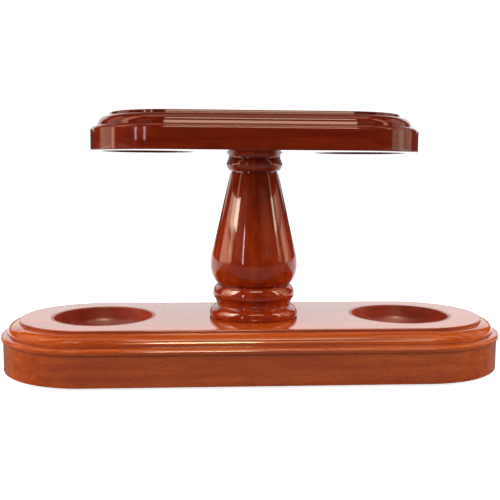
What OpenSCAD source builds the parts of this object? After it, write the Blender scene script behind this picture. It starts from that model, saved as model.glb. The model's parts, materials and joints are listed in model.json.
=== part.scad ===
// Two-tier razor stand: a round-ended moulded base with a dished well at each end,
// a turned centre column, and a smaller moulded shelf with two round pockets underneath.
// Millimetres. +Z is up, +X runs along the stand's length and the front faces -Y.
// The origin is on the table, under the column's axis.

/* [Base board] */
// Length of the base board, over its bead
base_length = 305; // [280:1:360]
// Depth of the base board from front to back, which is also twice its end radius
base_depth = 111; // [106:1:130]
// Thickness of the base board
base_thickness = 30; // [27:0.5:36]
// How far the bead stands out past the base board's flat edge band
base_lip = 1.2; // [0.4:0.1:1.8]

/* [Wells in the base] */
// Diameter of each well, at its wall
well_diameter = 59; // [50:1:64]
// Depth of each well
well_depth = 15; // [12:0.5:17]
// Distance of each well's centre from the column's axis
well_offset = 92; // [76:1:96]
// Radius that joins each well's wall to its floor
well_cove = 9.5; // [4:0.5:10]

/* [Shelf board] */
// Length of the shelf board
shelf_length = 194; // [192:1:240]
// Depth of the shelf board from front to back
shelf_depth = 110; // [100:1:130]
// Radius of the shelf board's corners
shelf_corner = 48; // [30:1:49]
// Thickness of the shelf board
shelf_thickness = 22; // [19:0.5:30]

/* [Pockets under the shelf] */
// Diameter of each round pocket
pocket_diameter = 55; // [40:1:57]
// Depth of each round pocket
pocket_depth = 6; // [2:0.5:8]
// Distance of each pocket's centre from the column's axis
pocket_offset = 64.5; // [58:0.5:65.5]

/* [Edge moulding] */
// Inset of the flat top from the board's outermost edge
top_inset = 10.8; // [10:0.1:13]
// Height of the small upright fillet under the top
fillet_height = 2; // [1:0.1:2.5]
// Radius of the quarter round below the fillet
ovolo_radius = 5.4; // [4:0.1:6]
// Inset of the quarter round from the board's outermost edge
ovolo_inset = 3.9; // [3:0.1:4]
// Height of the narrow upright quirk between the quarter round and the bead
quirk_height = 0.6; // [0.2:0.1:1]
// Radius of the bead above the flat edge band
bead_radius = 2.3; // [1.9:0.1:2.8]

/* [Column] */
// Height of the column between the two boards
column_height = 100; // [90:1:140]
// Diameter of the column at its belly
belly_diameter = 53.4; // [51:0.2:56]
// Diameter of the column's neck, under the top bead
neck_diameter = 29.2; // [27:0.2:30]

/* [Feet and fixings] */
// Diameter of each felt foot pad
pad_diameter = 18; // [12:1:22]
// Thickness of each felt foot pad
pad_thickness = 1.5; // [1:0.1:3]
// Diameter of the counterbore in the base's underside that takes the screw's head
counterbore_diameter = 18; // [16:0.5:22]
// Diameter of the locating dowels between the base and the column
dowel_diameter = 6; // [5:0.5:8]
// Outside diameter of both screws' threads
screw_diameter = 5; // [4:0.5:6]

/* [Hidden] */
$fn = 96;

// Heights of the main faces above the table
base_bottom = pad_thickness;
base_top = base_bottom + base_thickness;
shelf_bottom = base_top + column_height;

// Small radius that takes the sharpness off a lacquered wooden edge
eased_edge = 0.6;
// Overshoot that makes a cutting shape break cleanly through a face
cut_past = 1;

// Turned outline of the column, in heights above the base board and distances from the axis
foot_z = 2.2;
foot_curve = 4.5;
foot_reach = 27.2;
foot_waist = foot_reach - foot_curve;
foot_top = foot_z + foot_curve;
cove_z = 8;
cove_curve = 5.4;
cove_ledge = 0.3;
cove_reach = 24.6;
ring_z = 14;
ring_curve = 7.5;
ring_reach = 25.2;
ring_ridge = 12.2;
ring_top = 19.8;
ring_waist = 21.9;
belly_bottom = 20.2;
belly_z = 31.4;
belly_reach = belly_diameter / 2;
lower_curve = 17;
upper_curve = 42;
neck_reach = neck_diameter / 2;
neck_z = column_height - 12.6;
neck_groove = 0.6;
bead_z = column_height - 7.2;
bead_half_height = 3.9;
bead_curve = 5.2;
bead_reach = neck_reach + 2.35;
collar_z = column_height - 3;
collar_throat = neck_reach + 1.1;
collar_curve = 3.5;
collar_flare = 1.7;

// The straight taper leaves the neck and meets the slow curve over the belly as a tangent
taper_run = neck_reach - belly_reach + upper_curve;
taper_rise = neck_z - belly_z;
taper_angle = atan2(taper_rise, taper_run) - acos(upper_curve / norm([taper_run, taper_rise]));
taper_reach = belly_reach - upper_curve + upper_curve * cos(taper_angle);
taper_z = belly_z + upper_curve * sin(taper_angle);
// The taper starts a hair inside the slow curve and crosses it, so that the two meet in one clean edge
taper_tuck = 0.02;
taper_overlap = 4;

// Screw, washer, plug and dowels
counterbore_depth = 12;
washer_thickness = 1.2;
washer_diameter = 16;
head_diameter = 10;
head_height = 3.2;
head_round = 1.4;
recess_length = 5;
recess_width = 1.1;
recess_depth = 1.6;
plug_thickness = 5;
plug_chamfer = 1;
screw_in_column = 25;
thread_pitch = 2.2;
thread_depth = 0.8;
tip_length = 4;
dowel_length = 24;
dowel_offset = 14;
dowel_chamfer = 1;
dowel_screw_in_column = 20;
dowel_screw_in_shelf = 13;
screw_bearing = base_bottom + counterbore_depth - washer_thickness;

// Foot pads, out from the centres of the circles that round off the base's ends
pad_out = 18;
pad_x = base_length / 2 - base_depth / 2 + pad_out;
pad_y = 32;

wood = [0.55, 0.17, 0.08];
plain_wood = [0.80, 0.66, 0.46];
steel = [0.72, 0.73, 0.75];
felt = [0.12, 0.20, 0.14];

// Quarter of a disc, filling the corner between the +X and +Y axes
module quarter_round(radius) {
    intersection() {
        circle(r = radius);
        square(radius);
    }
}

// Half of a board's cross-section: from the centre line at x = 0 to the bead at x = reach
module edge_section(reach, thickness, lip) {
    bead_z = thickness - fillet_height - ovolo_radius - quirk_height - bead_radius;
    ovolo_z = thickness - fillet_height - ovolo_radius;
    band = reach - lip;
    // Flat edge band with an eased lower edge
    translate([0, eased_edge])
        square([band, bead_z - eased_edge]);
    square([band - eased_edge, eased_edge]);
    translate([band - eased_edge, eased_edge])
        mirror([0, 1])
            quarter_round(eased_edge);
    // Bead
    translate([0, bead_z])
        square([reach - bead_radius, bead_radius]);
    translate([reach - bead_radius, bead_z])
        quarter_round(bead_radius);
    if (lip > 0)
        translate([reach - bead_radius, bead_z])
            mirror([0, 1])
                quarter_round(bead_radius);
    // Quirk and quarter round
    translate([0, bead_z + bead_radius])
        square([reach - ovolo_inset, quirk_height]);
    translate([0, ovolo_z])
        square([reach - ovolo_inset - ovolo_radius, ovolo_radius]);
    translate([reach - ovolo_inset - ovolo_radius, ovolo_z])
        quarter_round(ovolo_radius);
    // Fillet under the top, with an eased arris
    translate([0, thickness - fillet_height])
        square([reach - top_inset, fillet_height - eased_edge]);
    translate([0, thickness - eased_edge])
        square([reach - top_inset - eased_edge, eased_edge]);
    translate([reach - top_inset - eased_edge, thickness - eased_edge])
        quarter_round(eased_edge);
}

// Straight run of a board along X, its cross-section mirrored about the centre line
module board_run(length, reach, thickness, lip) {
    rotate([90, 0, 90])
        linear_extrude(height = length, center = true)
            union() {
                edge_section(reach, thickness, lip);
                mirror([1, 0])
                    edge_section(reach, thickness, lip);
            }
}

// Moulded board lying on z = 0: straight runs between four turned corners
module moulded_board(length, depth, corner, thickness, lip) {
    corner_x = length / 2 - corner;
    corner_y = depth / 2 - corner;
    board_run(2 * corner_x, depth / 2, thickness, lip);
    if (corner_y > 0)
        rotate([0, 0, 90])
            board_run(2 * corner_y, length / 2, thickness, lip);
    for (quarter = [0 : 3]) {
        side_x = (quarter == 0 || quarter == 3) ? 1 : -1;
        side_y = (quarter < 2) ? 1 : -1;
        translate([side_x * corner_x, side_y * corner_y, 0])
            rotate([0, 0, 90 * quarter])
                rotate_extrude(angle = 90)
                    edge_section(corner, thickness, lip);
    }
}

// Round well cut down from z = 0: eased rim, upright wall, cove and flat floor
module well_cutter() {
    radius = well_diameter / 2;
    rotate_extrude()
        union() {
            translate([0, -well_depth])
                square([radius - well_cove, well_cove]);
            translate([radius - well_cove, well_cove - well_depth])
                mirror([0, 1])
                    quarter_round(well_cove);
            translate([0, well_cove - well_depth])
                square([radius, well_depth - well_cove + cut_past]);
            difference() {
                translate([0, -eased_edge])
                    square([radius + eased_edge, eased_edge + cut_past]);
                translate([radius + eased_edge, -eased_edge])
                    circle(r = eased_edge);
            }
        }
}

// Round pocket cut up from z = 0, with an eased rim
module pocket_cutter() {
    radius = pocket_diameter / 2;
    rotate_extrude()
        union() {
            translate([0, -cut_past])
                square([radius, pocket_depth + cut_past]);
            difference() {
                translate([0, -cut_past])
                    square([radius + eased_edge, eased_edge + cut_past]);
                translate([radius + eased_edge, eased_edge])
                    circle(r = eased_edge);
            }
        }
}

module base_board() {
    color(wood)
        difference() {
            translate([0, 0, base_bottom])
                moulded_board(base_length, base_depth, base_depth / 2, base_thickness, base_lip);
            for (side = [-1, 1])
                translate([side * well_offset, 0, base_top])
                    well_cutter();
            for (side = [-1, 1])
                translate([side * dowel_offset, 0, base_top - dowel_length / 2])
                    cylinder(h = dowel_length / 2 + cut_past, d = dowel_diameter);
            translate([0, 0, base_bottom - cut_past])
                cylinder(h = counterbore_depth + cut_past, d = counterbore_diameter);
            translate([0, 0, base_bottom])
                cylinder(h = base_thickness + cut_past, d = screw_diameter);
        }
}

module shelf_board() {
    color(wood)
        difference() {
            translate([0, 0, shelf_bottom])
                moulded_board(shelf_length, shelf_depth, shelf_corner, shelf_thickness, 0);
            for (side = [-1, 1])
                translate([side * pocket_offset, 0, shelf_bottom])
                    pocket_cutter();
            translate([0, 0, shelf_bottom - cut_past])
                cylinder(h = dowel_screw_in_shelf + cut_past, d = screw_diameter);
        }
}

// Convex turned band centred on height z, bulging out to x = reach with a round of radius curve
module turned_band(z, half_height, reach, curve) {
    intersection() {
        translate([reach - curve, z])
            circle(r = curve);
        translate([0, z - half_height])
            square([reach, 2 * half_height]);
    }
}

// Foot of the column's outline: a bold half round that meets the base almost at its widest
module foot_section() {
    translate([0, foot_z])
        intersection() {
            translate([foot_waist, 0])
                circle(r = foot_curve);
            translate([0, -foot_z])
                square([foot_reach, foot_z + foot_curve]);
        }
    square([foot_waist, foot_top]);
}

// Ring above the foot: a shallow cove that sweeps up to a flat bead
module ring_section() {
    difference() {
        translate([0, foot_top])
            square([cove_reach, ring_ridge - foot_top]);
        translate([foot_waist + cove_curve + cove_ledge, cove_z])
            circle(r = cove_curve);
    }
    intersection() {
        translate([ring_reach - ring_curve, ring_z])
            circle(r = ring_curve);
        translate([0, ring_ridge])
            square([ring_reach, ring_top - ring_ridge]);
    }
    square([ring_waist, belly_bottom]);
}

// Vase-shaped body: a tight curve under the belly, a slow one over it, and a straight taper
module body_section() {
    intersection() {
        translate([belly_reach - lower_curve, belly_z])
            circle(r = lower_curve);
        translate([0, belly_bottom])
            square([belly_reach, belly_z - belly_bottom]);
    }
    intersection() {
        translate([belly_reach - upper_curve, belly_z])
            circle(r = upper_curve);
        translate([0, belly_z])
            square([belly_reach, taper_z - belly_z + taper_overlap]);
    }
    polygon([[0, taper_z], [taper_reach - taper_tuck, taper_z], [neck_reach, neck_z], [0, neck_z]]);
}

// Neck groove, top bead and the collar that flares out under the shelf
module head_section() {
    translate([0, neck_z])
        square([neck_reach - neck_groove, column_height - neck_z]);
    turned_band(bead_z, bead_half_height, bead_reach, bead_curve);
    translate([0, bead_z])
        square([collar_throat, collar_z - bead_z]);
    difference() {
        translate([0, collar_z])
            square([collar_throat + collar_flare, column_height - collar_z]);
        translate([collar_throat + collar_curve, collar_z])
            circle(r = collar_curve);
    }
}

module column() {
    color(wood)
        translate([0, 0, base_top])
            difference() {
                rotate_extrude() {
                    foot_section();
                    ring_section();
                    body_section();
                    head_section();
                }
                translate([0, 0, -cut_past])
                    cylinder(h = screw_in_column + cut_past, d = screw_diameter);
                translate([0, 0, column_height - dowel_screw_in_column])
                    cylinder(h = dowel_screw_in_column + cut_past, d = screw_diameter);
                for (side = [-1, 1])
                    translate([side * dowel_offset, 0, -cut_past])
                        cylinder(h = dowel_length / 2 + cut_past, d = dowel_diameter);
            }
}

// Threaded length of a screw standing on z = 0, its thread drawn as rings
module threaded_length(length) {
    crest = screw_diameter / 2;
    root = crest - thread_depth;
    turns = floor(length / thread_pitch);
    pitch = length / turns;
    rotate_extrude()
        polygon([
            [0, 0],
            for (turn = [0 : turns - 1]) each [[root, turn * pitch], [crest, (turn + 0.5) * pitch]],
            [root, length],
            [0, length]
        ]);
}

// Pointed end of a screw, standing on z = 0
module screw_tip() {
    cylinder(h = tip_length, r1 = screw_diameter / 2 - thread_depth, r2 = 0);
}

// Pan head with a cross recess, hanging down from its bearing face at z = 0
module pan_head() {
    difference() {
        mirror([0, 0, 1])
            rotate_extrude() {
                square([head_diameter / 2 - head_round, head_height]);
                square([head_diameter / 2, head_height - head_round]);
                translate([head_diameter / 2 - head_round, head_height - head_round])
                    quarter_round(head_round);
            }
        for (turn = [0, 90])
            rotate([0, 0, turn])
                translate([0, 0, -head_height])
                    cube([recess_length, recess_width, 2 * recess_depth], center = true);
    }
}

module base_screw() {
    plain_length = base_top - screw_bearing;
    color(steel)
        translate([0, 0, screw_bearing]) {
            pan_head();
            cylinder(h = plain_length, d = screw_diameter);
            translate([0, 0, plain_length])
                threaded_length(screw_in_column - tip_length);
            translate([0, 0, plain_length + screw_in_column - tip_length])
                screw_tip();
        }
}

module base_washer() {
    color(steel)
        translate([0, 0, screw_bearing])
            difference() {
                cylinder(h = washer_thickness, d = washer_diameter);
                translate([0, 0, -cut_past])
                    cylinder(h = washer_thickness + 2 * cut_past, d = screw_diameter);
            }
}

// Flat wooden button that hides the screw's head
module base_plug() {
    color(plain_wood)
        translate([0, 0, base_bottom])
            rotate_extrude()
                polygon([
                    [0, 0],
                    [counterbore_diameter / 2, 0],
                    [counterbore_diameter / 2, plug_thickness - plug_chamfer],
                    [counterbore_diameter / 2 - plug_chamfer, plug_thickness],
                    [0, plug_thickness]
                ]);
}

// Double-ended screw that draws the shelf down onto the column
module shelf_dowel_screw() {
    lower_thread = dowel_screw_in_column - tip_length;
    upper_thread = dowel_screw_in_shelf - tip_length;
    color(steel)
        translate([0, 0, shelf_bottom]) {
            threaded_length(upper_thread);
            translate([0, 0, upper_thread])
                screw_tip();
            mirror([0, 0, 1]) {
                threaded_length(lower_thread);
                translate([0, 0, lower_thread])
                    screw_tip();
            }
        }
}

// Wooden dowel with chamfered ends, half in the base and half in the column
module locating_dowel(side) {
    radius = dowel_diameter / 2;
    color(plain_wood)
        translate([side * dowel_offset, 0, base_top - dowel_length / 2])
            rotate_extrude()
                polygon([
                    [0, 0],
                    [radius - dowel_chamfer, 0],
                    [radius, dowel_chamfer],
                    [radius, dowel_length - dowel_chamfer],
                    [radius - dowel_chamfer, dowel_length],
                    [0, dowel_length]
                ]);
}

module foot_pad(side_x, side_y) {
    color(felt)
        translate([side_x * pad_x, side_y * pad_y, 0])
            cylinder(h = pad_thickness, d = pad_diameter);
}

base_board();
column();
shelf_board();
base_screw();
base_washer();
base_plug();
shelf_dowel_screw();
locating_dowel(-1);  // locating_dowel_left
locating_dowel(1);  // locating_dowel_right
foot_pad(-1, -1);  // foot_pad_front_left
foot_pad(1, -1);  // foot_pad_front_right
foot_pad(-1, 1);  // foot_pad_back_left
foot_pad(1, 1);  // foot_pad_back_right
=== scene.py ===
"""Looks of the two-tier razor stand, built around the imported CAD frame.

Metres in the frame, millimetres in the outlines. +Z is up, +X runs along the boards and the front faces -Y.
The three lacquered pieces are rebuilt as fine meshes with softened, lacquer-filled edges, and the plug and the
felt pads as detailed pieces. Screws, washer and dowels keep their CAD meshes. Every finish is procedural.
"""

import json
import math

import bmesh
import bpy
from mathutils import Matrix, Vector
from mathutils.geometry import tessellate_polygon


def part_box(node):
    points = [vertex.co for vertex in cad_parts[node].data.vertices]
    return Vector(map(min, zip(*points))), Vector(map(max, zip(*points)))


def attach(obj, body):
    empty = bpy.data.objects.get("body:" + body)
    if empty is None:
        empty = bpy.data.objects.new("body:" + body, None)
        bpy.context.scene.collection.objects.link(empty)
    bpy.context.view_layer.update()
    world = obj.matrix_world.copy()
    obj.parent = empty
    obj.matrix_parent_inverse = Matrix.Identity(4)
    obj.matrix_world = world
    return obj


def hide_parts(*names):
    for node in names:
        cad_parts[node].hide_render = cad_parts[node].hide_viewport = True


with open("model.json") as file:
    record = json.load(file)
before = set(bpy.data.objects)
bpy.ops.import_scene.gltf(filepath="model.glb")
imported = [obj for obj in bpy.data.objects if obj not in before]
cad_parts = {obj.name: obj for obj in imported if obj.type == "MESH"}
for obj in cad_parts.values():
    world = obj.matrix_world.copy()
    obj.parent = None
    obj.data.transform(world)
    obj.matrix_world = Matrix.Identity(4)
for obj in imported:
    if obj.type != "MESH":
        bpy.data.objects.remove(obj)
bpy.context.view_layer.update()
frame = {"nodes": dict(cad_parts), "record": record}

MM = 0.001


# ---------------------------------------------------------------- sizes from the frame

def span(node):
    """Low and high corner of a CAD node, in millimetres."""
    low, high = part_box(node)
    return low / MM, high / MM


base_low, base_high = span("base_board")
shelf_low, shelf_high = span("shelf_board")
column_low, column_high = span("column")
plug_low, plug_high = span("base_plug")
dowel_low, dowel_high = span("locating_dowel_right")
dowel_radius = (dowel_high.x - dowel_low.x) / 2
dowel_x = (dowel_high.x + dowel_low.x) / 2
washer_top = span("base_washer")[1].z
pin_top = span("shelf_dowel_screw")[1].z

mounts = {mount["name"]: [value / MM for value in mount["pos_m"]] for mount in frame["record"]["mounts"]}
well_offset = mounts["well_right"][0]
well_floor = mounts["well_right"][2]
pocket_offset = mounts["pocket_right"][0]
pocket_ceiling = mounts["pocket_right"][2]

# Edge moulding, the same on both boards, with the base's lip and the shelf's round corners
TOP_INSET = 10.8
FILLET_HEIGHT = 2.0
OVOLO_RADIUS = 5.4
OVOLO_INSET = 3.9
QUIRK_HEIGHT = 0.6
BEAD_RADIUS = 2.3
BASE_LIP = 1.2
SHELF_CORNER = 48.0
EASED_EDGE = 0.6

# Wells, pockets, drilled holes and the plug
WELL_RADIUS = 29.5
WELL_COVE = 9.5
POCKET_RADIUS = 27.5
SCREW_RADIUS = 2.5
SCREW_IN_COLUMN = 25.0
PIN_IN_COLUMN = 20.0
DRILLED_EDGE = 0.15
PLUG_CHAMFER = 1.0

# Creases of the turned column, as heights over its foot and depths under its top
RING_RIDGE = 12.2
RING_GROOVE = 20.0
NECK_CREASE_DEPTH = 11.8
COLLAR_CREASE_DEPTH = 3.9

# Felt pads: the bulged edge as (inset, share of the thickness) from the wearing face up, and the waves of the
# ragged cut as (depth, number round the pad, lean)
PAD_EDGE = ((0.9, 0.0), (0.45, 0.06), (0.12, 0.22), (0.0, 0.5), (0.06, 0.8), (0.22, 1.0))
PAD_WAVES = ((0.20, 7, 0), (0.16, 17, 9), (0.14, 41, 4))
PAD_FRAY = 0.16
PAD_STEPS = 180

# How the lacquer softens corners, and how finely curves are cut
LACQUER_SOFTNESS = 0.22
SAMPLE_STEP = 0.08
TURN_PER_RING = math.radians(5)
ARC_STEPS = 48
CORNER_STEPS = 48
TURNED_STEPS = 160
HOLE_STEPS = 128
DRILLED_STEPS = 48
COUNTERBORE_STEPS = 64
FLAT_MARGIN = 1.5

# Floor: its brightness near the stand and far off, the radius over which it fades from one to the other, and
# the shares of the way in from that radius where the fading starts and ends
FLOOR_HALF_WIDTH = 6.0
FLOOR_GLOW = 0.80
PAPER_WHITE = 1.1
FLOOR_FADE = 2.0
FADE_STARTS = 0.5
FADE_ENDS = 0.8

# Hidden sheet that throws the floor's light: its reach, its strengths, and the stretches along Y between them
BOUNCE_HALF_WIDTH = 4.0
BOUNCE_IN_FRONT = 1.2
BOUNCE_BEHIND = 9.0
CONTACT_BOUNCE = 0.20
FRONT_BOUNCE = 0.36
BACK_BOUNCE = 1.40
CONTACT_EDGE = (-0.056, -0.068)
BACK_EDGE = (0.040, 0.150)

# Lamps and dim room: the point the lamps face, the distance of the near ones, the room's level and the tints
TARGET = Vector((0, 0, 0.09))
NEAR = 0.62
WORLD_LEVEL = 0.05
WARM = (1.0, 0.85, 0.64)
GOLD = (1.0, 0.84, 0.55)
PEACH = (1.0, 0.64, 0.44)
AMBER = (1.0, 0.56, 0.38)
VIOLET = (0.95, 0.70, 0.85)


# ---------------------------------------------------------------- outlines

def arc(centre_x, centre_z, radius, start, end):
    """Points along an arc, angles in degrees from +X towards +Z."""
    points = []
    for index in range(ARC_STEPS + 1):
        angle = math.radians(start + (end - start) * index / ARC_STEPS)
        points.append((centre_x + radius * math.cos(angle), centre_z + radius * math.sin(angle)))
    return points


def resampled(points):
    """The same line cut into short even steps."""
    line = [points[0]]
    for (x0, z0), (x1, z1) in zip(points, points[1:]):
        length = math.hypot(x1 - x0, z1 - z0)
        pieces = max(1, round(length / SAMPLE_STEP))
        for index in range(1, pieces + 1):
            share = index / pieces
            line.append((x0 + (x1 - x0) * share, z0 + (z1 - z0) * share))
    return line


def softened(points):
    """The same line with its corners rounded and its creases filled, as thick lacquer does."""
    line = resampled(points)
    reach = int(3 * LACQUER_SOFTNESS / SAMPLE_STEP)
    spreads = [index * SAMPLE_STEP / LACQUER_SOFTNESS for index in range(-reach, reach + 1)]
    weights = [math.exp(-0.5 * spread ** 2) for spread in spreads]
    total = sum(weights)
    smooth = list(line)
    for centre in range(reach, len(line) - reach):
        near = line[centre - reach:centre + reach + 1]
        smooth[centre] = (
            sum(weight * point[0] for weight, point in zip(weights, near)) / total,
            sum(weight * point[1] for weight, point in zip(weights, near)) / total,
        )
    return thinned(smooth)


def thinned(line):
    """Keeps the points where the line has turned by a set angle, and its two ends."""
    kept = [line[0]]
    heading = math.atan2(line[1][1] - line[0][1], line[1][0] - line[0][0])
    for here, ahead in zip(line[1:], line[2:]):
        course = math.atan2(ahead[1] - here[1], ahead[0] - here[0])
        turn = abs((course - heading + math.pi) % (2 * math.pi) - math.pi)
        if turn > TURN_PER_RING:
            kept.append(here)
            heading = course
    kept.append(line[-1])
    return kept


def edge_profile(thickness, lip):
    """A board's edge as (inset, height), from the flat underside round to the flat top."""
    bead_z = thickness - FILLET_HEIGHT - OVOLO_RADIUS - QUIRK_HEIGHT - BEAD_RADIUS
    ovolo_z = thickness - FILLET_HEIGHT - OVOLO_RADIUS
    ovolo_x = OVOLO_INSET + OVOLO_RADIUS
    outward = [(lip + EASED_EDGE + FLAT_MARGIN, 0.0)]
    outward += [(lip + EASED_EDGE - x, EASED_EDGE + z) for x, z in arc(0, 0, EASED_EDGE, -90, 0)]
    meets_band = -math.degrees(math.acos(1 - lip / BEAD_RADIUS))
    outward += [(BEAD_RADIUS - x, bead_z + z) for x, z in arc(0, 0, BEAD_RADIUS, meets_band, 90)]
    outward.append((OVOLO_INSET, bead_z + BEAD_RADIUS))
    outward += [(ovolo_x - x, ovolo_z + z) for x, z in arc(0, 0, OVOLO_RADIUS, 0, 90)]
    outward.append((TOP_INSET, thickness - FILLET_HEIGHT))
    arris_x = TOP_INSET + EASED_EDGE
    outward += [(arris_x - x, thickness - EASED_EDGE + z) for x, z in arc(0, 0, EASED_EDGE, 0, 90)]
    outward.append((arris_x + FLAT_MARGIN, thickness))
    return softened(outward)


def well_profile(depth):
    """A well as (radius, height against the top), from the flat top round the rim to its flat floor."""
    rim = WELL_RADIUS + EASED_EDGE
    line = [(rim + FLAT_MARGIN, 0.0)]
    line += [(rim + x, z - EASED_EDGE) for x, z in arc(0, 0, EASED_EDGE, 90, 180)]
    line += [(WELL_RADIUS - WELL_COVE + x, WELL_COVE - depth + z) for x, z in arc(0, 0, WELL_COVE, 0, -90)]
    line.append((WELL_RADIUS - WELL_COVE - FLAT_MARGIN, -depth))
    return softened(line)


def pocket_profile(depth):
    """A pocket as (radius, height over the underside), from the flat underside to its flat ceiling."""
    rim = POCKET_RADIUS + EASED_EDGE
    line = [(rim + FLAT_MARGIN, 0.0)]
    line += [(rim + x, z + EASED_EDGE) for x, z in arc(0, 0, EASED_EDGE, -90, -180)]
    line.append((POCKET_RADIUS, depth))
    line.append((POCKET_RADIUS - FLAT_MARGIN, depth))
    return softened(line)


def column_profile(height, foot_reach):
    """The turned column as (radius, height), from the rim of its foot to the rim of its collar.

    Each turn gives the degrees at which an arc starts and ends.
    """
    foot_curve, foot_z = 4.5, 2.2
    foot_x = foot_reach - foot_curve
    foot_turn = (math.degrees(math.asin(-foot_z / foot_curve)), 84)
    cove_x, cove_z, cove_curve = foot_x + 5.7, 8.0, 5.4
    cove_turn, cove_reach = (194, 134.7), 24.6
    ring_x, ring_z, ring_curve = 17.7, 14.0, 7.5
    ring_turn, ring_top = (-13.9, 50.6), 19.8
    groove_reach, belly_bottom = 21.9, 20.2
    belly_reach, belly_z = 26.7, 31.4
    lower_curve, upper_curve = 17.0, 42.0
    lower_turn = (-41.2, 0)
    neck_reach, neck_z = 14.6, height - 12.6
    neck_waist = 14.0
    bead_x, bead_z, bead_curve = 11.75, height - 7.2, 5.2
    bead_turn, bead_half_height = (-48.6, 40.6), 3.9
    throat, collar_z, collar_curve = 15.7, height - 3.0, 3.5
    collar_turn = (180, 121)
    run, rise = neck_reach - belly_reach + upper_curve, neck_z - belly_z
    taper = math.degrees(math.atan2(rise, run) - math.acos(upper_curve / math.hypot(run, rise)))
    line = [(foot_x - FLAT_MARGIN, 0.0)]
    line += arc(foot_x, foot_z, foot_curve, *foot_turn)
    line += arc(cove_x, cove_z, cove_curve, *cove_turn)
    line.append((cove_reach, RING_RIDGE))
    line += arc(ring_x, ring_z, ring_curve, *ring_turn)
    line += [(groove_reach, ring_top), (groove_reach, belly_bottom)]
    line += arc(belly_reach - lower_curve, belly_z, lower_curve, *lower_turn)
    line += arc(belly_reach - upper_curve, belly_z, upper_curve, 0, taper)
    line += [(neck_reach, neck_z), (neck_waist, neck_z), (neck_waist, bead_z - bead_half_height)]
    line += arc(bead_x, bead_z, bead_curve, *bead_turn)
    line += arc(throat + collar_curve, collar_z, collar_curve, *collar_turn)
    line.append((throat - FLAT_MARGIN, height))
    return softened(line)


# ---------------------------------------------------------------- solids

class Solid:
    """Collects rings of points and the faces between them, then makes one closed mesh."""

    def __init__(self):
        self.points = []
        self.faces = []
        self.finishes = []
        self.finish = 0

    def ring(self, points):
        first = len(self.points)
        self.points += points
        return list(range(first, len(self.points)))

    def face(self, corners):
        self.faces.append(corners)
        self.finishes.append(self.finish)

    def band(self, lower, upper):
        count = len(lower)
        for index in range(count):
            after = (index + 1) % count
            self.face((lower[index], lower[after], upper[after], upper[index]))

    def tube(self, rings):
        for lower, upper in zip(rings, rings[1:]):
            self.band(lower, upper)

    def fill(self, outer, holes=()):
        """Flat face inside the ring called outer, with the rings in holes left open."""
        loops = [outer, *holes]
        order = [index for loop in loops for index in loop]
        corners = [[Vector(self.points[index]) for index in loop] for loop in loops]
        for triangle in tessellate_polygon(corners):
            self.face(tuple(order[index] for index in triangle))

    def fan(self, ring, centre):
        middle = self.ring([centre])[0]
        for index, point in enumerate(ring):
            self.face((point, ring[(index + 1) % len(ring)], middle))

    def piece(self, name, crease=30):
        """The finished object, in metres, with smooth shading except across sharp corners."""
        mesh = bpy.data.meshes.new(name)
        mesh.from_pydata([[value * MM for value in point] for point in self.points], [], self.faces)
        work = bmesh.new()
        work.from_mesh(mesh)
        bmesh.ops.recalc_face_normals(work, faces=work.faces)
        work.to_mesh(mesh)
        work.free()
        mesh.polygons.foreach_set("material_index", self.finishes)
        mesh.shade_smooth()
        mesh.set_sharp_from_angle(angle=math.radians(crease))
        obj = bpy.data.objects.new(name, mesh)
        bpy.context.scene.collection.objects.link(obj)
        return obj


def circle(x, y, z, radius, steps=HOLE_STEPS):
    turn = 2 * math.pi / steps
    return [(x + radius * math.cos(turn * k), y + radius * math.sin(turn * k), z) for k in range(steps)]


def board_outline(half_x, half_y, corner, inset, z):
    """Ring round a board with round corners, moved in by inset."""
    straight_x = half_x - corner
    straight_y = half_y - corner
    radius = corner - inset
    ring = []
    for quarter in range(4):
        side_x = 1 if quarter in (0, 3) else -1
        side_y = 1 if quarter < 2 else -1
        for step in range(CORNER_STEPS + 1):
            angle = math.radians(90 * quarter + 90 * step / CORNER_STEPS)
            x = side_x * straight_x + radius * math.cos(angle)
            y = side_y * straight_y + radius * math.sin(angle)
            if not ring or math.dist(ring[-1], (x, y, z)) > 1e-6:
                ring.append((x, y, z))
    if math.dist(ring[-1], ring[0]) < 1e-6:
        ring.pop()
    return ring


def moulded_board(solid, low, high, corner, lip):
    """Side of a board; gives back the rings that bound its flat underside and flat top."""
    half_x, half_y = high.x, high.y
    profile = edge_profile(high.z - low.z, lip)
    rings = [solid.ring(board_outline(half_x, half_y, corner, inset, low.z + z)) for inset, z in profile]
    solid.tube(rings)
    return rings[0], rings[-1]


def hollow(solid, x, y, profile, z):
    """Round hollow in a flat face, closed at its far end; gives back the ring at its mouth."""
    rings = [solid.ring(circle(x, y, z + height, radius)) for radius, height in profile]
    solid.tube(rings)
    last_radius, last_height = profile[-1]
    inner = solid.ring(circle(x, y, z + last_height, last_radius / 2))
    solid.band(rings[-1], inner)
    solid.fan(inner, (x, y, z + last_height))
    return rings[0]


def drilled(solid, x, y, mouth_z, end_z, radius):
    """Blind drilled hole; gives back the ring at its mouth."""
    inward = math.copysign(DRILLED_EDGE, end_z - mouth_z)
    mouth = solid.ring(circle(x, y, mouth_z, radius + DRILLED_EDGE, DRILLED_STEPS))
    neck = solid.ring(circle(x, y, mouth_z + inward, radius, DRILLED_STEPS))
    end = solid.ring(circle(x, y, end_z, radius, DRILLED_STEPS))
    solid.tube([mouth, neck, end])
    solid.fan(end, (x, y, end_z))
    return mouth


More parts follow.
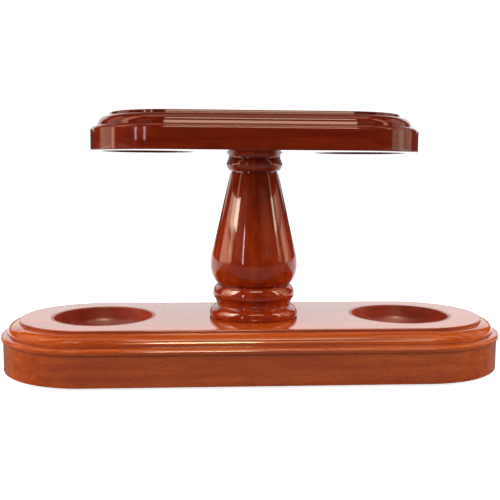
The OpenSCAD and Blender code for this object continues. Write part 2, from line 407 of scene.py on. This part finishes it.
def bored_through(solid, bottom_z, shoulder_z, top_z, wide, narrow):
    """Counterbored hole on the axis; gives back its rings in the underside and in the top."""
    levels = [
        (bottom_z, wide + DRILLED_EDGE), (bottom_z + DRILLED_EDGE, wide), (shoulder_z, wide),
        (shoulder_z, narrow), (top_z - DRILLED_EDGE, narrow), (top_z, narrow + DRILLED_EDGE),
    ]
    rings = [solid.ring(circle(0, 0, z, radius, COUNTERBORE_STEPS)) for z, radius in levels]
    solid.tube(rings)
    return rings[0], rings[-1]


def build_base():
    """Lower board: two wells in its top, the counterbore with the screw's hole, and the dowels' holes."""
    solid = Solid()
    under, top = moulded_board(solid, base_low, base_high, base_high.y, BASE_LIP)
    depth = base_high.z - well_floor
    solid.finish = 1
    wells = [hollow(solid, side * well_offset, 0, well_profile(depth), base_high.z) for side in (-1, 1)]
    solid.finish = 0
    counterbore, shaft = bored_through(
        solid, base_low.z, washer_top, base_high.z, plug_high.x, SCREW_RADIUS)
    dowels = [drilled(solid, side * dowel_x, 0, base_high.z, dowel_low.z, dowel_radius) for side in (-1, 1)]
    solid.fill(top, [*wells, shaft, *dowels])
    solid.fill(under, [counterbore])
    return solid.piece("base_board_lacquered")


def build_shelf():
    """Upper board: two pockets and the hole for the dowel screw in its underside."""
    solid = Solid()
    under, top = moulded_board(solid, shelf_low, shelf_high, SHELF_CORNER, 0.0)
    depth = pocket_ceiling - shelf_low.z
    pockets = [hollow(solid, side * pocket_offset, 0, pocket_profile(depth), shelf_low.z) for side in (-1, 1)]
    pin = drilled(solid, 0, 0, shelf_low.z, pin_top, SCREW_RADIUS)
    solid.fill(top)
    solid.fill(under, [*pockets, pin])
    return solid.piece("shelf_board_lacquered")


def build_column():
    """Turned column, drilled at both ends."""
    solid = Solid()
    profile = column_profile(column_high.z - column_low.z, column_high.x)
    rings = [solid.ring(circle(0, 0, column_low.z + z, radius, TURNED_STEPS)) for radius, z in profile]
    solid.tube(rings)
    dowels = [drilled(solid, side * dowel_x, 0, column_low.z, dowel_high.z, dowel_radius) for side in (-1, 1)]
    screw = drilled(solid, 0, 0, column_low.z, column_low.z + SCREW_IN_COLUMN, SCREW_RADIUS)
    pin = drilled(solid, 0, 0, column_high.z, column_high.z - PIN_IN_COLUMN, SCREW_RADIUS)
    solid.fill(rings[0], [screw, *dowels])
    solid.fill(rings[-1], [pin])
    return solid.piece("column_turned")


def build_pad(node, name):
    """Die-cut felt disc: a bulged, slightly ragged edge and a flattened wearing face."""
    low, high = span(node)
    middle = (low + high) / 2
    radius = (high.x - low.x) / 2
    thickness = high.z - low.z
    solid = Solid()
    rings = []
    for inset, share in PAD_EDGE:
        ring = []
        for index in range(PAD_STEPS):
            angle = 2 * math.pi * index / PAD_STEPS
            waves = sum(depth * math.sin(count * angle + lean * share) for depth, count, lean in PAD_WAVES)
            reach = radius - inset - PAD_FRAY * (0.5 - waves)
            ring.append((
                middle.x + reach * math.cos(angle),
                middle.y + reach * math.sin(angle),
                low.z + thickness * share,
            ))
        rings.append(solid.ring(ring))
    solid.tube(rings)
    for ring, z in ((rings[0], low.z), (rings[-1], high.z)):
        solid.fan(ring, (middle.x, middle.y, z))
    return solid.piece(name, crease=60)


def build_plug():
    """Face-grain plug, cut flush with the underside and chamfered at its inner end."""
    radius = plug_high.x
    solid = Solid()
    levels = [
        (plug_low.z, radius - DRILLED_EDGE), (plug_low.z + DRILLED_EDGE, radius),
        (plug_high.z - PLUG_CHAMFER, radius), (plug_high.z, radius - PLUG_CHAMFER),
    ]
    rings = [solid.ring(circle(0, 0, z, reach)) for z, reach in levels]
    solid.tube(rings)
    solid.fan(rings[0], (0, 0, plug_low.z))
    solid.fan(rings[-1], (0, 0, plug_high.z))
    return solid.piece("base_plug_turned")


# ---------------------------------------------------------------- materials

class Look:
    """A node material with short helpers, so that each finish reads top to bottom."""

    def __init__(self, name):
        self.material = bpy.data.materials.new(name)
        self.material.use_nodes = True
        self.tree = self.material.node_tree
        self.shader = self.tree.nodes["Principled BSDF"]

    def node(self, kind, **settings):
        made = self.tree.nodes.new(kind)
        for name, value in settings.items():
            setattr(made, name, value)
        return made

    def link(self, source, target):
        self.tree.links.new(source, target)

    def place(self, scale, offset=(0, 0, 0)):
        """Object coordinates, stretched by scale."""
        coords = self.node("ShaderNodeTexCoord")
        mapping = self.node("ShaderNodeMapping")
        mapping.inputs["Scale"].default_value = scale
        mapping.inputs["Location"].default_value = offset
        self.link(coords.outputs["Object"], mapping.inputs["Vector"])
        return mapping.outputs["Vector"]

    def noise(self, vector, detail, roughness=0.5, distortion=0.0):
        made = self.node("ShaderNodeTexNoise")
        made.inputs["Scale"].default_value = 1.0
        made.inputs["Detail"].default_value = detail
        made.inputs["Roughness"].default_value = roughness
        made.inputs["Distortion"].default_value = distortion
        self.link(vector, made.inputs["Vector"])
        return made.outputs["Fac"]

    def ramp(self, value, *stops):
        """Maps a value through (position, grey or colour) stops."""
        made = self.node("ShaderNodeValToRGB")
        elements = made.color_ramp.elements
        while len(elements) < len(stops):
            elements.new(0.5)
        for element, (position, colour) in zip(elements, stops):
            element.position = position
            element.color = (*colour, 1) if isinstance(colour, tuple) else (colour, colour, colour, 1)
        self.link(value, made.inputs["Fac"])
        return made.outputs["Color"]

    def maths(self, operation, first, second):
        made = self.node("ShaderNodeMath", operation=operation)
        for socket, value in zip(made.inputs, (first, second)):
            if isinstance(value, (int, float)):
                socket.default_value = value
            else:
                self.link(value, socket)
        return made.outputs["Value"]

    def mix(self, factor, first, second):
        """Blends two colours; the inputs are numbered because a mix node has several of each name."""
        made = self.node("ShaderNodeMix", data_type="RGBA")
        for socket, value in ((made.inputs[0], factor), (made.inputs[6], first), (made.inputs[7], second)):
            if isinstance(value, (int, float)):
                socket.default_value = value
            elif isinstance(value, tuple):
                socket.default_value = (*value, 1)
            else:
                self.link(value, socket)
        return made.outputs[2]

    def bump(self, height, strength, distance, target="Normal"):
        made = self.node("ShaderNodeBump")
        made.inputs["Strength"].default_value = strength
        made.inputs["Distance"].default_value = distance
        self.link(height, made.inputs["Height"])
        self.link(made.outputs["Normal"], self.shader.inputs[target])

    def set(self, **values):
        for name, value in values.items():
            self.shader.inputs[name.replace("_", " ")].default_value = value


def along(grain, lengthwise, across):
    """Texture scale with its long direction along the grain axis."""
    return tuple(lengthwise if axis == grain else across for axis in "XYZ")


# How far the painted shade in the creases goes towards the pore colour, how wide it lies, as a half width in
# millimetres or a share of the fillet's height, and the clear margin past the outermost creases
PAINTED_CREASE_SHADE = 0.85
NARROW_CREASE = 0.6
WIDE_CREASE = 0.8
FILLET_SHARE = 0.55
CREASE_MARGIN = 1.0

# Roughness of the lacquer: well rubbed outside, less so down in the wells
BOARD_COAT = 0.075
WELL_COAT = 0.32

# Stain on each part: the darkest, middle and lightest tone, then the open pores
STAINS = {
    "base": ((0.38, 0.050, 0.005), (0.51, 0.078, 0.007), (0.60, 0.105, 0.011), (0.18, 0.017, 0.003)),
    # The wells get a darker copy of the base's stain: painted shade in the hollows.
    "well": ((0.28, 0.028, 0.009), (0.40, 0.046, 0.013), (0.50, 0.066, 0.018), (0.13, 0.012, 0.004)),
    "shelf": ((0.12, 0.007, 0.001), (0.18, 0.012, 0.001), (0.24, 0.020, 0.002), (0.06, 0.004, 0.001)),
    "column": ((0.22, 0.014, 0.001), (0.31, 0.025, 0.002), (0.41, 0.045, 0.004), (0.11, 0.007, 0.001)),
}


def painted_crease_shade(look, creases):
    """White where shade is painted into the creases, given as (height, half width) in millimetres."""
    lowest = creases[0][0] - creases[0][1] - CREASE_MARGIN
    reach = creases[-1][0] + creases[-1][1] + CREASE_MARGIN - lowest
    coords = look.node("ShaderNodeTexCoord")
    parts = look.node("ShaderNodeSeparateXYZ")
    look.link(coords.outputs["Object"], parts.inputs["Vector"])
    height = look.node("ShaderNodeMapRange")
    height.inputs["From Min"].default_value = lowest * MM
    height.inputs["From Max"].default_value = (lowest + reach) * MM
    look.link(parts.outputs["Z"], height.inputs["Value"])
    stops = []
    for centre, half_width in creases:
        for level, shade in ((centre - half_width, 0.0), (centre, 1.0), (centre + half_width, 0.0)):
            stops.append(((level - lowest) / reach, shade))
    return look.ramp(height.outputs["Result"], *stops)


def board_creases(top):
    """Where shade is painted into a board's edge moulding: in the quirk and all over the narrow fillet."""
    quirk = top - FILLET_HEIGHT - OVOLO_RADIUS - QUIRK_HEIGHT / 2
    fillet = top - FILLET_HEIGHT / 2
    return [(quirk, QUIRK_HEIGHT), (fillet, FILLET_HEIGHT * FILLET_SHARE)]


def column_creases():
    """Where shade is painted into the column's turned grooves."""
    return [
        (column_low.z + RING_RIDGE, NARROW_CREASE), (column_low.z + RING_GROOVE, WIDE_CREASE),
        (column_high.z - NECK_CREASE_DEPTH, WIDE_CREASE), (column_high.z - COLLAR_CREASE_DEPTH, NARROW_CREASE),
    ]


def lacquered_wood(part, grain, offset, creases=(), coat=BOARD_COAT):
    """Close-grained hardwood under red-brown stain and clear gloss lacquer."""
    look = Look("lacquered_wood_" + part)
    dark, middle, light, pore = STAINS[part]
    drift = look.noise(look.place(along(grain, 6, 38), offset), detail=2, roughness=0.6)
    figure = look.noise(look.place(along(grain, 9, 260), offset), detail=4, roughness=0.62, distortion=0.4)
    fibre = look.noise(look.place(along(grain, 90, 2600), offset), detail=2)
    tone = look.maths("ADD", look.maths("MULTIPLY", drift, 0.45), look.maths("MULTIPLY", figure, 0.55))
    stain = look.ramp(tone, (0.38, dark), (0.50, middle), (0.62, light))
    mottle = look.noise(look.place(along(grain, 70, 190), offset), detail=4, roughness=0.65)
    clouded = look.mix(look.ramp(mottle, (0.42, 0.0), (0.68, 0.45)), stain, dark)
    fibred = look.mix(look.ramp(fibre, (0.35, 0.0), (0.75, 0.2)), clouded, dark)

    dashes = look.node("ShaderNodeTexVoronoi", feature="F1")
    dashes.inputs["Scale"].default_value = 1.0
    dashes.inputs["Randomness"].default_value = 1.0
    look.link(look.place(along(grain, 260, 1000), offset), dashes.inputs["Vector"])
    shape = look.ramp(dashes.outputs["Distance"], (0.10, 1.0), (0.45, 0.0))
    chance = look.ramp(dashes.outputs["Color"], (0.56, 0.0), (0.72, 1.0))
    pores = look.maths("MULTIPLY", shape, chance)
    colour = look.mix(look.maths("MULTIPLY", pores, 0.5), fibred, pore)
    # Painted shade: the creases are darkened towards the pore colour.
    if creases:
        painted_shade = look.maths("MULTIPLY", painted_crease_shade(look, creases), PAINTED_CREASE_SHADE)
        colour = look.mix(painted_shade, colour, pore)
    look.link(colour, look.shader.inputs["Base Color"])

    gloss = look.noise(look.place((40, 40, 40), offset), detail=4)
    look.link(look.ramp(gloss, (0.3, 0.36), (0.7, 0.48)), look.shader.inputs["Roughness"])
    look.set(Specular_IOR_Level=0.0, Coat_Weight=1.0, Coat_IOR=1.5, Coat_Roughness=coat)

    look.bump(look.maths("SUBTRACT", fibre, pores), 0.25, 0.00006)
    peel = look.noise(look.place((120, 120, 120), offset), detail=2, roughness=0.4)
    look.bump(peel, 0.012, 0.00010, "Coat Normal")
    return look.material


def plain_wood(name):
    """Unfinished pale beech, with fine fibres and short darker flecks."""
    look = Look(name)
    figure = look.noise(look.place((60, 500, 500)), detail=4, roughness=0.6)
    stain = look.ramp(figure, (0.3, (0.50, 0.33, 0.19)), (0.7, (0.74, 0.56, 0.36)))
    fibre = look.noise(look.place((200, 4000, 4000)), detail=2)
    flecks = look.ramp(fibre, (0.62, 0.0), (0.72, 0.5))
    look.link(look.mix(flecks, stain, (0.34, 0.20, 0.11)), look.shader.inputs["Base Color"])
    look.link(look.ramp(fibre, (0.3, 0.55), (0.7, 0.78)), look.shader.inputs["Roughness"])
    look.bump(fibre, 0.4, 0.00008)
    return look.material


def zinc_steel(name):
    """Bright zinc-plated steel with turning marks and a faint bloom."""
    look = Look(name)
    bloom = look.noise(look.place((500, 500, 500)), detail=4, roughness=0.7)
    zinc = look.ramp(bloom, (0.3, (0.52, 0.53, 0.56)), (0.7, (0.72, 0.72, 0.70)))
    look.link(zinc, look.shader.inputs["Base Color"])
    look.link(look.ramp(bloom, (0.3, 0.22), (0.7, 0.40)), look.shader.inputs["Roughness"])
    marks = look.noise(look.place((300, 300, 9000)), detail=2)
    look.bump(marks, 0.2, 0.00003)
    look.set(Metallic=1.0)
    return look.material


def wool_felt(name):
    """Dark green pressed wool felt: matted fibres, faint mottling and a soft nap."""
    look = Look(name)
    mottle = look.noise(look.place((350, 350, 350)), detail=3)
    stain = look.ramp(mottle, (0.3, (0.010, 0.022, 0.014)), (0.7, (0.030, 0.058, 0.038)))
    fibre = look.noise(look.place((2500, 2500, 2500)), detail=6, roughness=0.75, distortion=1.5)
    fuzz = look.mix(look.ramp(fibre, (0.45, 0.0), (0.75, 0.5)), stain, (0.10, 0.15, 0.11))
    look.link(fuzz, look.shader.inputs["Base Color"])
    look.link(look.ramp(fibre, (0.3, 0.86), (0.7, 0.98)), look.shader.inputs["Roughness"])
    look.set(Sheen_Weight=0.5, Sheen_Roughness=0.5, Specular_IOR_Level=0.2)
    look.bump(fibre, 0.9, 0.0004)
    return look.material


def floor_paper(name):
    """Matte white studio paper. Seen from below it clears, so that the underside can be looked at."""
    look = Look(name)
    grain = look.noise(look.place((60, 60, 60)), detail=5)
    paper = look.ramp(grain, (0.3, (0.90, 0.90, 0.90)), (0.7, (0.93, 0.93, 0.93)))
    look.link(paper, look.shader.inputs["Base Color"])
    look.set(Roughness=0.9, Specular_IOR_Level=0.0)
    look.shader.inputs["Emission Color"].default_value = (1, 1, 1, 1)
    centre = look.node("ShaderNodeTexGradient", gradient_type="SPHERICAL")
    look.link(look.place((1 / FLOOR_FADE, 1 / FLOOR_FADE, 1)), centre.inputs["Vector"])
    fade = look.node("ShaderNodeMapRange", interpolation_type="SMOOTHSTEP")
    fade.inputs["From Min"].default_value = FADE_STARTS
    fade.inputs["From Max"].default_value = FADE_ENDS
    fade.inputs["To Min"].default_value = PAPER_WHITE
    fade.inputs["To Max"].default_value = FLOOR_GLOW
    look.link(centre.outputs["Fac"], fade.inputs["Value"])
    look.link(fade.outputs["Result"], look.shader.inputs["Emission Strength"])
    clear = look.node("ShaderNodeBsdfTransparent")
    facing = look.node("ShaderNodeNewGeometry")
    chosen = look.node("ShaderNodeMixShader")
    look.link(facing.outputs["Backfacing"], chosen.inputs["Fac"])
    look.link(look.shader.outputs["BSDF"], chosen.inputs[1])
    look.link(clear.outputs["BSDF"], chosen.inputs[2])
    look.link(chosen.outputs["Shader"], look.tree.nodes["Material Output"].inputs["Surface"])
    return look.material


def bounce_light(name):
    """Light thrown up by the floor: bright behind the stand, dim before it and dimmest at the base."""
    look = Look(name)
    coords = look.node("ShaderNodeTexCoord")
    parts = look.node("ShaderNodeSeparateXYZ")
    look.link(coords.outputs["Object"], parts.inputs["Vector"])
    strengths = []
    stretches = ((CONTACT_EDGE, CONTACT_BOUNCE, FRONT_BOUNCE), (BACK_EDGE, 0.0, BACK_BOUNCE))
    for (near, far), near_glow, far_glow in stretches:
        share = look.node("ShaderNodeMapRange", interpolation_type="SMOOTHSTEP")
        share.inputs["From Min"].default_value = near
        share.inputs["From Max"].default_value = far
        share.inputs["To Min"].default_value = near_glow
        share.inputs["To Max"].default_value = far_glow
        look.link(parts.outputs["Y"], share.inputs["Value"])
        strengths.append(share.outputs["Result"])
    glow = look.node("ShaderNodeEmission")
    look.link(look.maths("MAXIMUM", *strengths), glow.inputs["Strength"])
    look.link(glow.outputs["Emission"], look.tree.nodes["Material Output"].inputs["Surface"])
    return look.material


# ---------------------------------------------------------------- studio

def panel(name, azimuth, elevation, distance, width, height, radiance, tint=(1, 1, 1)):
    """Soft box facing the stand. Azimuth 0 is the camera's side and +90 is the right-hand side."""
    lamp = bpy.data.lights.new(name, "AREA")
    lamp.shape = "RECTANGLE"
    lamp.size = width
    lamp.size_y = height
    lamp.energy = radiance * math.pi * width * height
    lamp.color = tint
    obj = bpy.data.objects.new(name, lamp)
    bpy.context.scene.collection.objects.link(obj)
    turn, rise = math.radians(azimuth), math.radians(elevation)
    away = Vector((math.sin(turn) * math.cos(rise), -math.cos(turn) * math.cos(rise), math.sin(rise)))
    obj.location = TARGET + away * distance
    obj.rotation_mode = "QUATERNION"
    obj.rotation_quaternion = away.to_track_quat("Z", "Y")
    obj.visible_camera = False
    return obj


def shine(*settings):
    """Soft box that shows in the gloss only."""
    obj = panel(*settings)
    obj.visible_diffuse = False
    return obj


def fill(*settings):
    """Broad soft light that lights the surfaces and doesn't show in the gloss."""
    obj = panel(*settings)
    obj.visible_glossy = False
    return obj


def keep_to(lamp, *pieces):
    """Lets the lamp shine on these pieces alone, as a flagged lamp does."""
    lit = bpy.data.collections.new(lamp.name + "_lit")
    for piece in pieces:
        lit.objects.link(piece)
    lamp.light_linking.receiver_collection = lit


def pass_through(lamp, board):
    """Lets the lamp's light through the board, as if the lamp stood closer in under it."""
    blockers = bpy.data.collections.new(lamp.name + "_blockers")
    blockers.objects.link(board)
    lamp.light_linking.blocker_collection = blockers
    blockers.collection_objects[0].light_linking.link_state = "EXCLUDE"


def light_column(column, shelf):
    """Key lights whose long reflections run up the column, graded from bright to dim round its side."""
    keys = [
        shine("left_key", -66, 34, NEAR, 0.15, 0.44, 18, WARM),
        shine("left_key_edge", -82, 32, NEAR, 0.17, 0.44, 8, WARM),
        shine("left_key_far", -98, 30, NEAR, 0.17, 0.44, 3.5, AMBER),
        shine("right_key", 68, 33, NEAR, 0.08, 0.46, 9, WARM),
        shine("right_key_edge", 84, 32, NEAR, 0.20, 0.44, 2.5, AMBER),
        shine("small_lamp", -33, 9, 1.0, 0.050, 0.30, 16, VIOLET),
    ]
    glints = [
        shine("left_glint", -73, 30, NEAR, 0.06, 0.50, 2.6, WARM),
        shine("left_low_glint", -71, 9, NEAR, 0.14, 0.17, 1.8, WARM),
        shine("right_glint", 68, 30, NEAR, 0.05, 0.50, 2.2, WARM),
        shine("right_low_glint", 68, 8, NEAR, 0.10, 0.16, 1.4, WARM),
    ]
    glows = [
        shine("left_low_glow", -85, 4, NEAR, 0.44, 0.14, 3.6, AMBER),
        shine("right_low_glow", 92, 4, NEAR, 0.16, 0.14, 3.0, AMBER),
    ]
    for lamp in keys + glints + glows:
        keep_to(lamp, column)
    for lamp in glints:
        pass_through(lamp, shelf)


def light_boards(base, shelf):
    """Soft boxes for the mouldings: strips along the front edges and dimmer glints round the ends."""
    shine("high_strip", 6, 53, 0.85, 0.44, 0.14, 9, WARM)
    keep_to(shine("base_strip_core", -2, 20, 0.90, 0.20, 0.20, 26, GOLD), base)
    keep_to(shine("base_strip_wide", 8, 20, 0.90, 0.60, 0.20, 4.5, GOLD), base)
    keep_to(shine("shelf_strip", 4, 20, 0.90, 0.56, 0.20, 9.5, PEACH), shelf)
    keep_to(shine("left_end", -74, 36, NEAR, 0.12, 0.40, 4, AMBER), base, shelf)
    keep_to(shine("right_end", 68, 33, NEAR, 0.08, 0.42, 4, AMBER), base, shelf)
    keep_to(shine("shelf_left_glint", -84, 6, NEAR, 0.045, 0.16, 3.2, AMBER), shelf)
    keep_to(shine("shelf_left_veil", -96, 6, NEAR, 0.34, 0.20, 0.9, PEACH), shelf)
    keep_to(shine("shelf_right_veil", 80, 6, NEAR, 0.22, 0.20, 1.2, WARM), shelf)
    for azimuth in (-50, -38):
        keep_to(shine("shelf_lamp_%d" % -azimuth, azimuth, 10, 1.0, 0.040, 0.26, 9, VIOLET), shelf)
    for azimuth in (-41, -27, 30, 43):
        keep_to(shine("base_window_%+d" % azimuth, azimuth, 36, 1.0, 0.12, 0.42, 3.2, WARM), base)


def light_room():
    """Bright backdrop, broad dim windows on the camera's side, and the light that shows the colours."""
    panel("backdrop_light", 180, 22, 1.72, 3.4, 0.95, 1.42)
    shine("left_side", -95, 22, 0.70, 0.34, 0.60, 0.8, WARM)
    shine("right_side", 97, 20, 0.75, 0.40, 0.60, 0.8, WARM)
    shine("front_left_window", -44, 20, 1.2, 0.50, 0.55, 0.30, WARM)
    shine("front_right_window", 34, 22, 1.2, 0.62, 0.55, 0.28, WARM)
    shine("overhead_glow", 6, 84, 1.1, 1.2, 0.7, 1.1, WARM)
    fill("left_fill", -78, 8, 0.9, 0.8, 0.8, 5.0)
    fill("right_fill", 86, 8, 0.9, 0.8, 0.8, 5.0)
    fill("overhead_fill", 0, 60, 1.2, 1.1, 0.9, 3.0)


def build_world():
    """Dim surroundings for reflections, and plain white where the camera sees past the floor."""
    world = bpy.data.worlds.new("studio")
    bpy.context.scene.world = world
    world.use_nodes = True
    tree = world.node_tree
    room = tree.nodes["Background"]
    room.inputs["Color"].default_value = (1, 0.97, 0.94, 1)
    room.inputs["Strength"].default_value = WORLD_LEVEL
    paper = tree.nodes.new("ShaderNodeBackground")
    paper.inputs["Color"].default_value = (1, 1, 1, 1)
    paper.inputs["Strength"].default_value = PAPER_WHITE
    path = tree.nodes.new("ShaderNodeLightPath")
    chosen = tree.nodes.new("ShaderNodeMixShader")
    tree.links.new(path.outputs["Is Camera Ray"], chosen.inputs["Fac"])
    tree.links.new(room.outputs["Background"], chosen.inputs[1])
    tree.links.new(paper.outputs["Background"], chosen.inputs[2])
    tree.links.new(chosen.outputs["Shader"], tree.nodes["World Output"].inputs["Surface"])


def flat_sheet(name, half_width, in_front, behind, height, material):
    """Level rectangle round the stand."""
    mesh = bpy.data.meshes.new(name)
    corners = [
        (-half_width, -in_front, height), (half_width, -in_front, height),
        (half_width, behind, height), (-half_width, behind, height),
    ]
    mesh.from_pydata(corners, [], [(0, 1, 2, 3)])
    mesh.materials.append(material)
    sheet = bpy.data.objects.new(name, mesh)
    bpy.context.scene.collection.objects.link(sheet)
    return sheet


def build_floor():
    """The paper floor that is seen, and the hidden sheet just under it that throws its light."""
    reach = FLOOR_HALF_WIDTH
    floor = flat_sheet("floor", reach, reach, reach, 0, floor_paper("studio_paper"))
    floor.visible_diffuse = False
    floor.visible_glossy = False
    bounce = flat_sheet(
        "floor_bounce", BOUNCE_HALF_WIDTH, BOUNCE_IN_FRONT, BOUNCE_BEHIND, -MM, bounce_light("bounce_light"))
    bounce.visible_camera = False
    bounce.visible_shadow = False


def build_camera():
    """Looks a little down and a little to the right, from left of the column's axis."""
    lens = bpy.data.cameras.new("photo_camera")
    lens.sensor_width = 36
    lens.lens = 53.51
    lens.clip_start = 0.01
    camera = bpy.data.objects.new("photo_camera", lens)
    bpy.context.scene.collection.objects.link(camera)
    camera.location = (-0.03405, -0.45424, 0.12036)
    down, right, roll = 6.08, 3.99, 0.37
    forward = Vector((
        math.sin(math.radians(right)) * math.cos(math.radians(down)),
        math.cos(math.radians(right)) * math.cos(math.radians(down)),
        -math.sin(math.radians(down)),
    ))
    level = forward.to_track_quat("-Z", "Y").to_matrix().to_4x4()
    tilt = Vector((0, 0, 1))
    camera.rotation_mode = "QUATERNION"
    camera.rotation_quaternion = (level @ Matrix.Rotation(math.radians(roll), 4, tilt)).to_quaternion()
    bpy.context.scene.camera = camera


# ---------------------------------------------------------------- assembly

def place(obj, material, slot, *nodes):
    """Gives a piece its finish, and tells the frame what it rides on and stands for. The slot, what it is made
    of, is not used.
    """
    obj.data.materials.append(material)
    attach(obj, "root")
    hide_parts(*nodes)


base = build_base()
shelf = build_shelf()
column = build_column()
place(base, lacquered_wood("base", "X", (0, 0, 0), board_creases(base_high.z)),
      "lacquered_wood", "base_board")
place(shelf, lacquered_wood("shelf", "X", (3.1, 7.3, 1.7), board_creases(shelf_high.z)),
      "lacquered_wood", "shelf_board")
place(column, lacquered_wood("column", "Z", (5.2, 2.9, 0.6), column_creases()),
      "lacquered_wood", "column")
# A darker copy of the base's wood for the wells: painted shade in the hollows.
base.data.materials.append(lacquered_wood("well", "X", (1.4, 0.8, 2.2), coat=WELL_COAT))
steel = zinc_steel("zinc_steel")
beech = plain_wood("plain_beech")
felt = wool_felt("wool_felt")
place(build_plug(), beech, "plain_wood", "base_plug")
for corner in ("front_left", "front_right", "back_left", "back_right"):
    place(build_pad("foot_pad_" + corner, "felt_pad_" + corner), felt, "felt", "foot_pad_" + corner)

# The CAD meshes that stay: steel for screws and washer, beech for the dowels
for node, obj in frame["nodes"].items():
    if obj.hide_render:
        continue
    obj.data.materials.clear()
    if "dowel_screw" in node or node in ("base_screw", "base_washer"):
        obj.data.materials.append(steel)
    else:
        obj.data.materials.append(beech)

build_floor()
build_world()
light_room()
light_boards(base, shelf)
light_column(column, shelf)
build_camera()
bpy.context.scene.view_settings.view_transform = "Standard"
